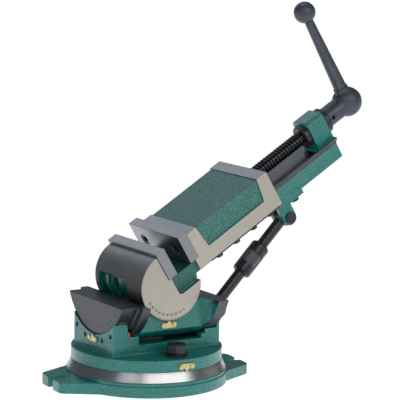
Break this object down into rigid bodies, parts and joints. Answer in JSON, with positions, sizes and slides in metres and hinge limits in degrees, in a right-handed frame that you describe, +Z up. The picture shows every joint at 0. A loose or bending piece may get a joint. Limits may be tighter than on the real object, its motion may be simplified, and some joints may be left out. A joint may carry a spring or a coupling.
{
  "type": "three-axis vise",
  "caption": "Machine vise on a swivelling round base, with a rolling cradle, a tilting bed held by a turnbuckle strut, and a cranked screw.",
  "frame": {"origin": "middle of the base's underside", "axes": "+Z up; X along the bed as seen from above, the crank at +X; the tilt scale faces -Y"},
  "size_m": [0.4838, 0.217, 0.5013],
  "materials": {
    "green_paint": "glossy machine enamel",
    "machined_iron": "milled and ground",
    "ground_steel": "ground",
    "black_steel": "black oxide",
    "screw_steel": "oiled",
    "brass": "satin",
    "bronze": "machined",
    "copper": "satin"
  },
  "bodies": {
    "base": {"base_casting": "green_paint", "graduated_ring": "machined_iron", "centre_pivot": "ground_steel"},
    "swivel": {"swivel_body": "machined_iron", "swivel_bolts": "black_steel", "swivel_washers": "black_steel", "swivel_nuts": "black_steel", "roll_pointer": "brass", "swivel_pointer": "brass", "pointer_rivets": "brass", "copper_plug": "copper"},
    "rocker": {"cradle": "green_paint", "tilt_pointer": "brass", "tilt_pointer_rivets": "brass", "lower_strut_pin": "black_steel"},
    "tilting_bed": {"bed": "green_paint", "fixed_jaw_plate": "ground_steel", "fixed_plate_screws": "black_steel", "bearing_bush": "bronze", "pad_screws": "black_steel", "upper_strut_pin": "black_steel"},
    "sliding_jaw": {"moving_jaw": "green_paint", "moving_jaw_plate": "ground_steel", "moving_plate_screws": "black_steel", "keepers": "green_paint", "keeper_screws": "black_steel", "screw_nut": "bronze"},
    "screw_and_crank": {"lead_screw": "screw_steel", "inner_collar": "black_steel", "outer_collar": "black_steel", "crank_hub": "black_steel", "crank_lever": "black_steel", "ball_knob": "black_steel", "hub_pin": "ground_steel"},
    "lower_rod": {"lower_eye_rod": "screw_steel"},
    "buckle": {"turnbuckle_nut": "black_steel", "buckle_retainer": "ground_steel"},
    "upper_rod": {"upper_eye_rod": "screw_steel"}
  },
  "joints": [
    {"name": "base_swivel", "type": "hinge", "parent": "base", "child": "swivel", "pos_m": [0, 0, 0.03], "axis": [0, 0, 1], "continuous": true},
    {"name": "cradle_roll", "type": "hinge", "parent": "swivel", "child": "rocker", "pos_m": [0, 0, 0.1483], "axis": [1, 0, 0], "range_deg": [-45, 45]},
    {"name": "bed_tilt", "type": "hinge", "parent": "rocker", "child": "tilting_bed", "pos_m": [0, 0, 0.1369], "axis": [0, -1, 0], "range_deg": [-7.4, 7.4]},
    {"name": "jaw_slide", "type": "slide", "parent": "tilting_bed", "child": "sliding_jaw", "axis": [0.8531, 0, 0.5218], "range_m": [-0.0235, 0.09]},
    {"name": "screw_turn", "type": "hinge", "parent": "tilting_bed", "child": "screw_and_crank", "pos_m": [0.24393, 0, 0.31305], "axis": [0.8531, 0, 0.5218], "range_deg": [-1697, 6485]},
    {"name": "strut_pivot", "type": "hinge", "parent": "rocker", "child": "lower_rod", "pos_m": [0.105, 0, 0.0865], "axis": [0, -1, 0], "range_deg": [-9.24, 9.24]},
    {"name": "buckle_turn", "type": "hinge", "parent": "lower_rod", "child": "buckle", "pos_m": [0.16048, 0, 0.14414], "axis": [0.6935, 0, 0.7205], "range_deg": [-2568.1, 2568.1]},
    {"name": "strut_reach", "type": "slide", "parent": "lower_rod", "child": "upper_rod", "axis": [0.6935, 0, 0.7205], "range_m": [-0.01452, 0.01452]}
  ],
  "couplings": [
    {"joint": "screw_turn", "follows": "jaw_slide", "rad_per_m": 1256.6},
    {"joint": "strut_pivot", "follows": "bed_tilt", "ratio": 1.2247},
    {"joint": "buckle_turn", "follows": "bed_tilt", "ratio": 346.36},
    {"joint": "strut_reach", "follows": "bed_tilt", "m_per_rad": 0.11025}
  ]
}
